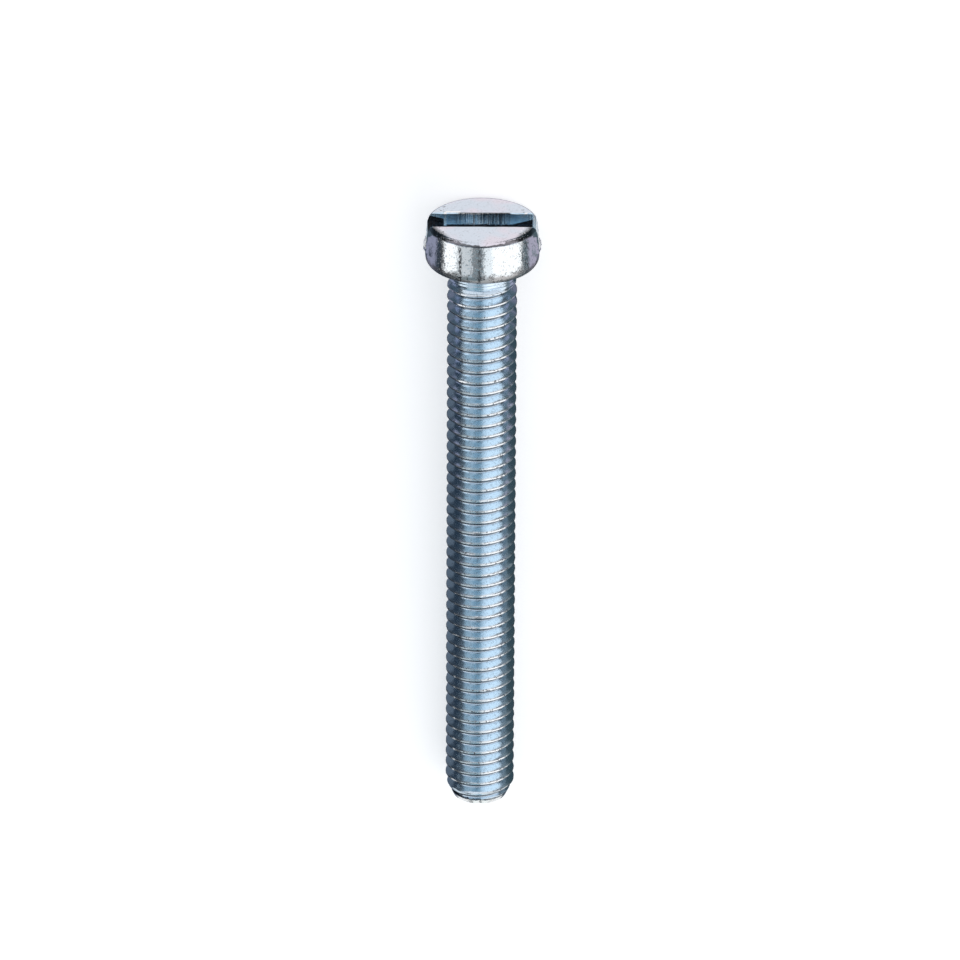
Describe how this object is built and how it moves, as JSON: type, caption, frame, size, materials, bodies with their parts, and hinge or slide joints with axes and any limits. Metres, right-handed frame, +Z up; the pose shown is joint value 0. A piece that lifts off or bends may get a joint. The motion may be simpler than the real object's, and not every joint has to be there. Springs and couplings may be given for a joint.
{
  "type": "machine screw",
  "caption": "Slotted round-head machine screw in bright zinc-plated steel, fully threaded, with a tapered point, lying on its side.",
  "frame": {"origin": "on the ground under the middle of the lying screw's length", "axes": "+Y along the screw's length towards the head, +Z up, +X along the driver slot; the axis rises 2.1 degrees towards the head, because the head and the last full crest both rest on the ground"},
  "size_m": [0.0098, 0.054, 0.0095],
  "materials": {
    "zinc_plated_steel": "bright zinc plating with a faint blue and lilac sheen, small specks and worn edges"
  },
  "bodies": {
    "root": {"screw": "zinc_plated_steel"}
  },
  "joints": []
}
